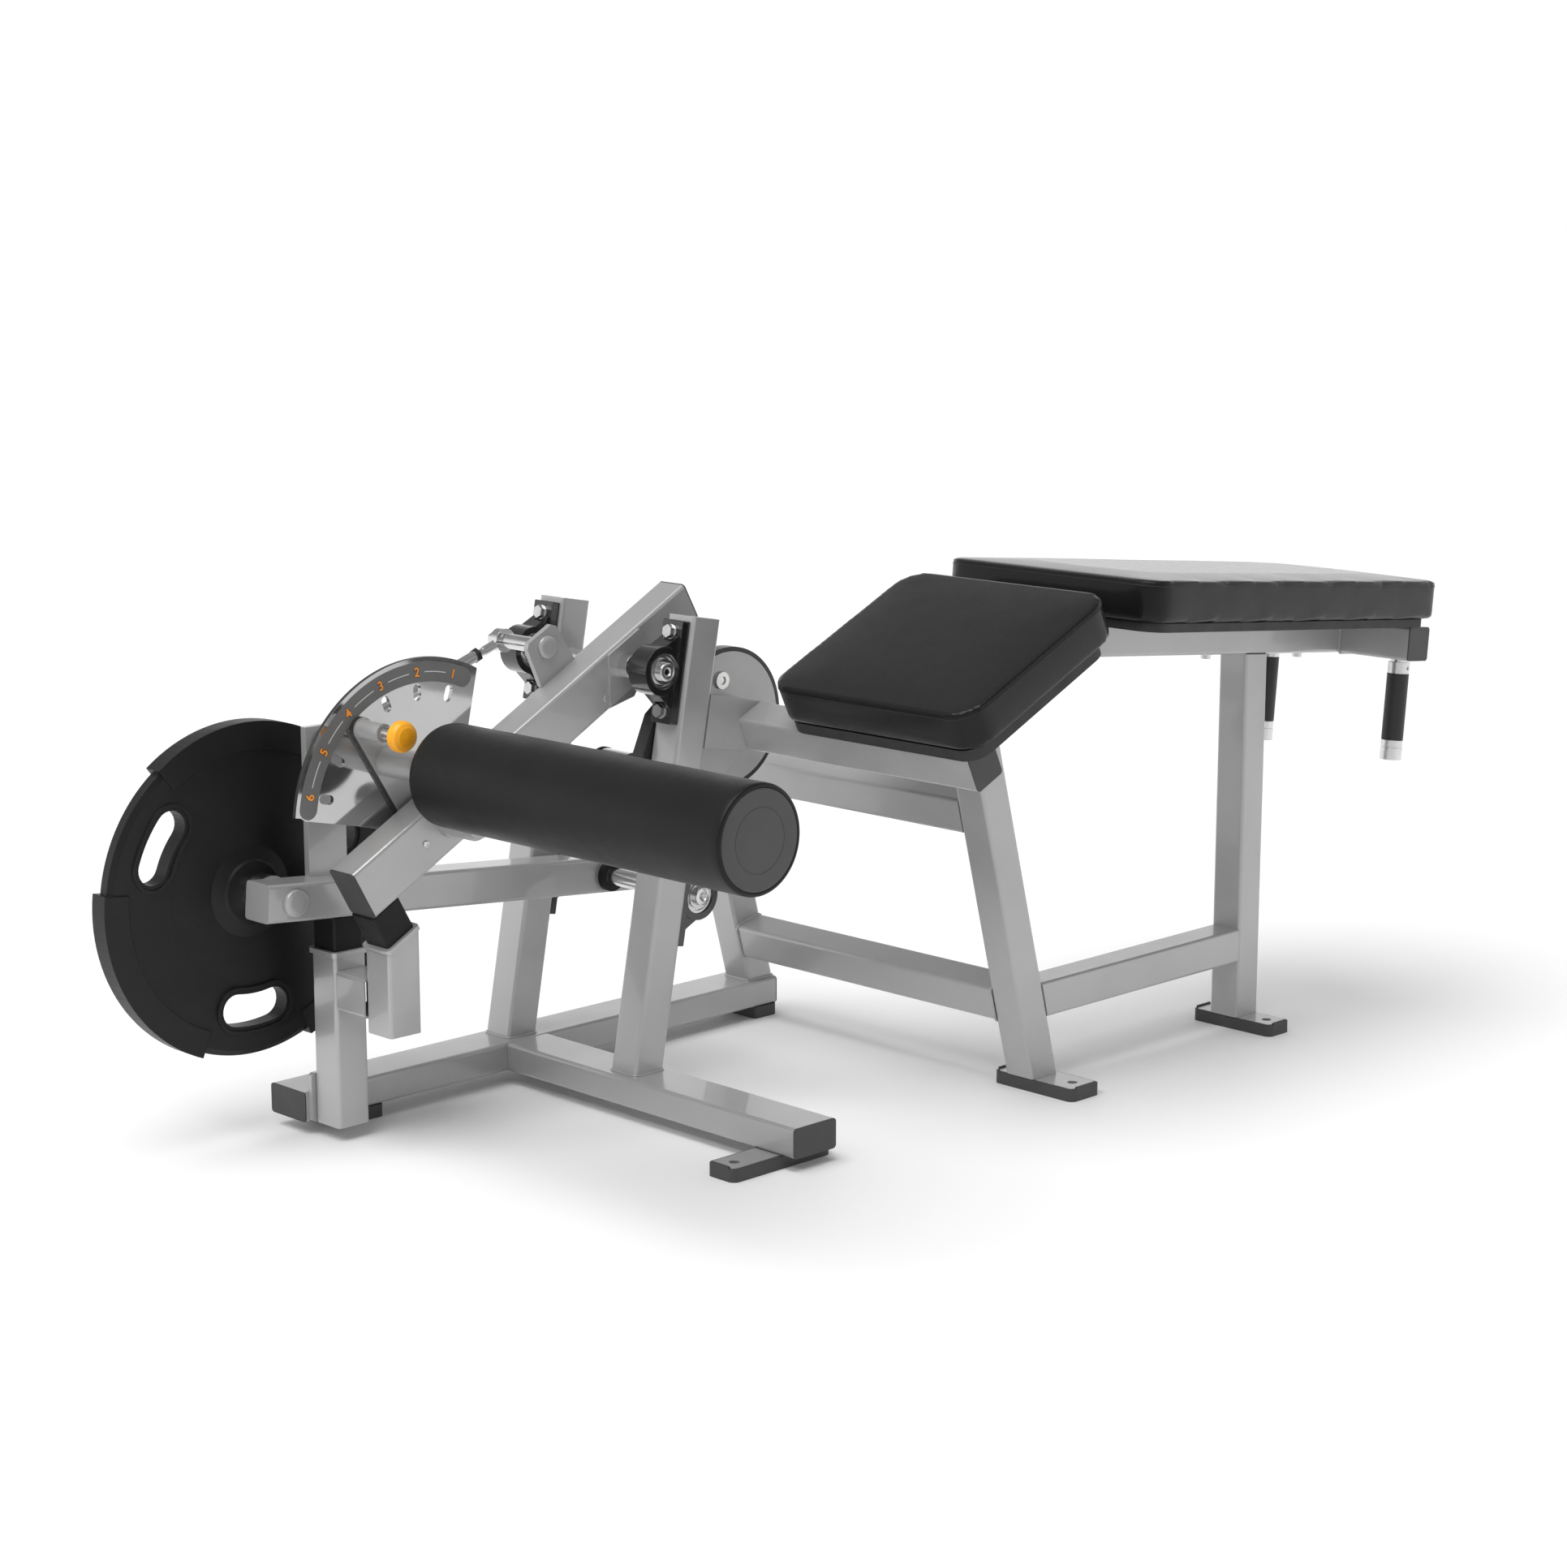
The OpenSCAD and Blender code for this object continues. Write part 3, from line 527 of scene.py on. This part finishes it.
def cushion(name, arcs, z0, z1, frame_name, node, voxel):
    """A foam pad in sewn vinyl: a flat base on its board, a crowned top and sides, a sewn top edge."""
    edge = EDGE_RADIUS
    to_world = PLACE @ FRAMES[frame_name]
    back = to_world.inverted()
    profile = [(edge * 0.9, z0), (edge * 0.35, z0 + 1.2), (0.6, z0 + 4)]
    profile += [(0.4, z0 + (z1 - z0) * t) for t in (0.25, 0.5, 0.75)]
    profile += [(edge * (1 - math.cos(a)), z1 - edge + edge * math.sin(a))
                for a in (math.radians(d) for d in (0, 18, 36, 54, 72, 90))]
    bm = bmesh.new()
    rings = [[bm.verts.new(p) for p in plan_ring(arcs, inset, z)] for inset, z in profile]
    for a, b in zip(rings, rings[1:]):
        for i in range(len(a)):
            j = (i + 1) % len(a)
            bm.faces.new((a[i], a[j], b[j], b[i]))
    bm.faces.new(rings[0][::-1])
    bm.faces.new(rings[-1])
    ob = piece(name, bm, frame_name, "frame", "upholstery")
    applied(ob, "REMESH", mode="VOXEL", voxel_size=voxel, use_smooth_shade=True)
    outline = resample(plan_ring(arcs, 0, 0), 6.0)

    def near_edge(p):
        return min((Vector((p.x, p.y)) - Vector((q.x, q.y))).length for q in outline) < edge + 4

    def pins(co):
        """The base is fixed and the sewn top edge held."""
        p = back @ co
        if p.z < z0 + 3:
            return 1.0
        return 0.85 if abs(p.z - (z1 - edge * 0.3)) < 3.4 and near_edge(p) else 0.0

    inflate(ob, pins, SWELL_CAP)
    applied(ob, "SUBSURF", levels=1)
    ob.data.polygons.foreach_set("use_smooth", [True] * len(ob.data.polygons))
    ob.data.materials.clear()
    ob.data.materials.append(FINISH["upholstery"])
    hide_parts(node)

    # the seam along the top edge follows the swollen surface, with a line of stitches below it
    tree = BVHTree.FromPolygons([v.co for v in ob.data.vertices],
                                [list(p.vertices) for p in ob.data.polygons])

    def on_surface(p, lift):
        hit, normal, _, _ = tree.find_nearest(to_world @ p)
        return back @ (hit + normal * lift * MM)

    bm = bmesh.new()
    seam = [on_surface(p, 0.0) for p in resample(plan_ring(arcs, 0.6, z1 - edge * 0.62), 3.0)]
    sweep(bm, resample(seam, 3.0), SEAM_R, sides=6)
    piece(name + "_seam", bm, frame_name, "frame", "upholstery")
    bm = bmesh.new()
    line = resample(plan_ring(arcs, 0.3, z1 - edge - 3.0), STITCH_STEP)
    for a, b in zip(line, line[1:] + line[:1]):
        arch = ((0.12, 0.15), (0.35, 0.45), (0.65, 0.45), (0.88, 0.15))     # (share of the step, lift)
        sweep(bm, [on_surface(a.lerp(b, t), lift) for t, lift in arch], STITCH_R, sides=5, closed=False)
    piece(name + "_stitches", bm, frame_name, "frame", "upholstery", THREAD)


def torso_plan():
    """The torso pad's outline, wide at the hips and narrow at the head."""
    hip_x, hip_half, hip_r = -428 + 36, 190 - 36, 34
    head_x, head_half, head_r = 280 - 17, 160 - 17, 15
    return rounded([(hip_x, LEG_Y - hip_half, hip_r), (head_x, LEG_Y - head_half, head_r),
                    (head_x, LEG_Y + head_half, head_r), (hip_x, LEG_Y + hip_half, hip_r)])


# the tops start 2.5 and 2 mm low, for the room that the foam swells into
cushion("hip_cushion", box_plan(119.2, LEG_Y, 306, 355, 38), 41.4, 99.6 - 2.5, "hip", "hip_pad", 0.005)
cushion("torso_cushion", torso_plan(), 37.4, 96.0 - 2.0, "torso", "torso_pad", 0.006)


# ---- roller ------------------------------------------------------------------------------
def roller():
    """A moulded foam tube with rolled ends and a slightly uneven skin, and the disc in its outer end."""
    axis = shift(ROLLER_R, -780, 0) @ turn(-90, "X")
    bm = bmesh.new()
    # (radius, height): the rolled outer end, the long side, the rolled inner end and the bore
    outer = [(59.6, 3.6), (59.8, 0.9), (60.6, 0.15), (62.4, 0.1), (64.2, 0.7), (65.3, 1.9), (65.8, 3.6)]
    body = [(65.9, 3.6 + 541.0 * k / 60) for k in range(1, 61)]
    inner = [(65.6, 547.5), (64.6, 550.6), (62.6, 553.2), (59.8, 554.6), (56.0, 555.0), (31.4, 555.0)]
    lathe(bm, outer + body + inner + [(31.4, 3.6)], n=96, closed=True)
    for v in bm.verts:
        if math.hypot(v.co.x, v.co.y) > 61:
            slow = noise.noise(v.co * 0.012)
            fast = noise.noise(v.co * 0.05)
            scale = 1 + (0.35 * slow + 0.12 * fast - 0.35) / 66.0
            v.co.x *= scale
            v.co.y *= scale
    bm.transform(axis)
    foam = piece("roller_skin", bm, "swing", "roller", "roller_skin")
    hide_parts("roller_foam")
    # the end disc with its moulded ring groove
    bm = bmesh.new()
    disc = [(0, -0.25), (36.6, -0.25), (37.3, -0.2), (37.6, 0.35), (38.6, 0.35), (38.9, -0.2),
            (39.6, -0.25), (57.2, -0.25), (58.5, -0.05), (59.1, 0.4), (59.1, 0.9), (0, 0.9)]
    lathe(bm, [(r, h + 0.3) for r, h in disc], n=96)
    bm.transform(axis)
    piece("roller_end_disc", bm, "swing", "roller", "roller_end")


roller()


# ---- dial ---------------------------------------------------------------------------------
DIAL_FACE_Y, DIAL_R = -95.8, 181
DIAL_FIRST, DIAL_STEP, DIAL_GAP = 72.6, 18.79, 3.9    # degrees: first number, step, gap beside a number
ARC_HALF_WIDTH, ARC_PARTS = 0.6, 16


def dial_numbers():
    """The numbers 1 to 6 round the dial, orange on a dark outline."""
    for k in range(6):
        theta = math.radians(DIAL_FIRST + DIAL_STEP * k)
        out = Vector((math.cos(theta), 0, math.sin(theta)))
        right = Vector((math.sin(theta), 0, -math.cos(theta)))
        basis = Matrix((right, out, Vector((0, -1, 0)))).transposed().to_4x4()
        for name, finish, grow, lift, thick in (("outline", DARK_INK_AND_EDGE_SHADE, 1.05, 0.08, 0.10),
                                                ("number", ORANGE, 0.42, 0.2, 0.12)):
            text = bpy.data.curves.new(f"dial_{name}_{k + 1}", "FONT")
            text.body = str(k + 1)
            text.size, text.align_x, text.align_y = 17.0, "CENTER", "CENTER"
            text.offset, text.extrude, text.resolution_u = grow, thick, 6
            tmp = bpy.data.objects.new("tmp", text)
            bpy.context.scene.collection.objects.link(tmp)
            bpy.context.view_layer.update()
            deps = bpy.context.evaluated_depsgraph_get()
            mesh = bpy.data.meshes.new_from_object(tmp.evaluated_get(deps))
            bpy.data.objects.remove(tmp)
            bpy.data.curves.remove(text)
            bm = bmesh.new()
            bm.from_mesh(mesh)
            bpy.data.meshes.remove(mesh)
            bmesh.ops.remove_doubles(bm, verts=bm.verts, dist=0.001)
            place = Matrix.Translation(out * DIAL_R + Vector((0, DIAL_FACE_Y - lift, 0)))
            bm.transform(place @ basis)
            piece(f"dial_{name}_{k + 1}", bm, "hub", "lever_arm", "dial_label", finish)


def dial_line():
    """The light arc that joins the numbers."""
    low, high = DIAL_FACE_Y, DIAL_FACE_Y - 0.15
    inner, outer = DIAL_R - ARC_HALF_WIDTH, DIAL_R + ARC_HALF_WIDTH
    bm = bmesh.new()
    for k in range(5):
        a0 = DIAL_FIRST + DIAL_STEP * k + DIAL_GAP
        a1 = DIAL_FIRST + DIAL_STEP * (k + 1) - DIAL_GAP
        angles = [math.radians(a0 + (a1 - a0) * i / ARC_PARTS) for i in range(ARC_PARTS + 1)]
        rows = [[bm.verts.new((r * math.cos(a), y, r * math.sin(a))) for a in angles]
                for r, y in ((inner, low), (inner, high), (outer, high), (outer, low))]
        for a, b in zip(rows, rows[1:] + rows[:1]):
            for i in range(ARC_PARTS):
                bm.faces.new((a[i], a[i + 1], b[i + 1], b[i]))
        for i in (0, ARC_PARTS):
            bm.faces.new([row[i] for row in rows])
    piece("dial_arc_line", bm, "hub", "lever_arm", "dial_label", LIGHT_INK)


dial_numbers()
dial_line()


# ---- welds --------------------------------------------------------------------------------
def weld(bm, path, closed=True, r=2.0):
    """A stacked-ripple bead along a path."""
    phase = rng.random() * 3

    def ripple(i):
        return r * (0.86 + 0.16 * abs(math.sin(math.pi * (i + phase) / 3.4)))

    sweep(bm, resample(path, 1.25, closed), ripple, sides=7, closed=closed)


def square_path(w, h, at, r=6.0):
    """A rounded rectangle in the local XY plane, placed by a matrix."""
    return [at @ p for p in plan_ring(box_plan(0, 0, w, h, r), 0, 0)]


def welds():
    """Beads round the tube joints. A loop is (its longer side, the place and turn of its XY plane)."""
    tube, base_top = 50, 58.6
    leaning, raked = tube / math.cos(math.radians(UPRIGHT_LEAN)), tube / math.cos(math.radians(15))
    across = turn(90, "X")
    loops = {
        "world": [(leaning, shift(UPRIGHT_X, NEAR_Y, base_top)),
                  (leaning, shift(UPRIGHT_X, FAR_Y, base_top)),
                  (raked, shift(496.4, 38.5, base_top))],
        "leg": [(tube, shift(0, -486.6, 112.6) @ across), (tube, shift(0, 13.1, 112.6) @ across)],
        "torso": [(tube, shift(255, -537.4, 0) @ across), (tube, shift(255, -486.6, 0) @ across)],
        "hip": [(tube, shift(25.4, LEG_Y, 0) @ turn(90))],
    }
    for frame_name, jobs in loops.items():
        bm = bmesh.new()
        for side, at in jobs:
            weld(bm, square_path(side + 1.6, tube + 1.6, at))
        piece(f"weld_beads_{frame_name}", bm, frame_name, "frame", "frame_paint")


welds()


# ---- small hardware -----------------------------------------------------------------------
def toward_near(x, y, z):
    """A matrix whose +Z points along -Y, out of a face that looks to the roller side."""
    return shift(x, y, z) @ turn(90, "X")


def disc_head(name, frame_name, body, slot, at, r, h, chamfer=1.2, recess=None):
    """A turned head standing on a face, with a soft edge and an optional recess (radius, depth)."""
    bm = bmesh.new()
    profile = [(r, 0), (r, h - chamfer), (r - 0.35 * chamfer, h - 0.3 * chamfer), (r - chamfer, h)]
    if recess:
        profile += [(recess[0], h), (recess[0] * 0.9, h - recess[1]), (0, h - recess[1] * 1.25)]
    else:
        profile += [(r * 0.5, h), (0, h)]
    lathe(bm, [(0, 0)] + profile, at, n=48)
    piece(name, bm, frame_name, body, slot)


SHAFT_NEAR_END, LEVER_NEAR_FACE = -240, -160
CENTRE_HOLE = (6.5, 1.3)
disc_head("bracket_pin_head", "lever", "lever_arm", "frame_paint",
          toward_near(PIN[0], -118, PIN[1]), 15, 5)
disc_head("horn_flange", "warm", "weight_arm", "frame_paint",
          toward_near(-535, -53, 0), 17.6, 6.6)
disc_head("knee_shaft_end", "world", "lever_arm", "steel",
          toward_near(KNEE[0], SHAFT_NEAR_END, KNEE[2]), 12.5, 1.4, 0.8, CENTRE_HOLE)
disc_head("lower_shaft_end", "world", "weight_arm", "steel",
          toward_near(LOWER[0], SHAFT_NEAR_END, LOWER[2]), 12.5, 1.4, 0.8, CENTRE_HOLE)
disc_head("lever_screw", "world", "lever_arm", "zinc",
          toward_near(-264.6, LEVER_NEAR_FACE, 404.1), 4.6, 2.2, 1.0, (2.4, 1.2))
disc_head("lever_plug", "world", "lever_arm", "frame_paint",
          toward_near(42.9, LEVER_NEAR_FACE, 554.8), 5.4, 0.9, 0.5)
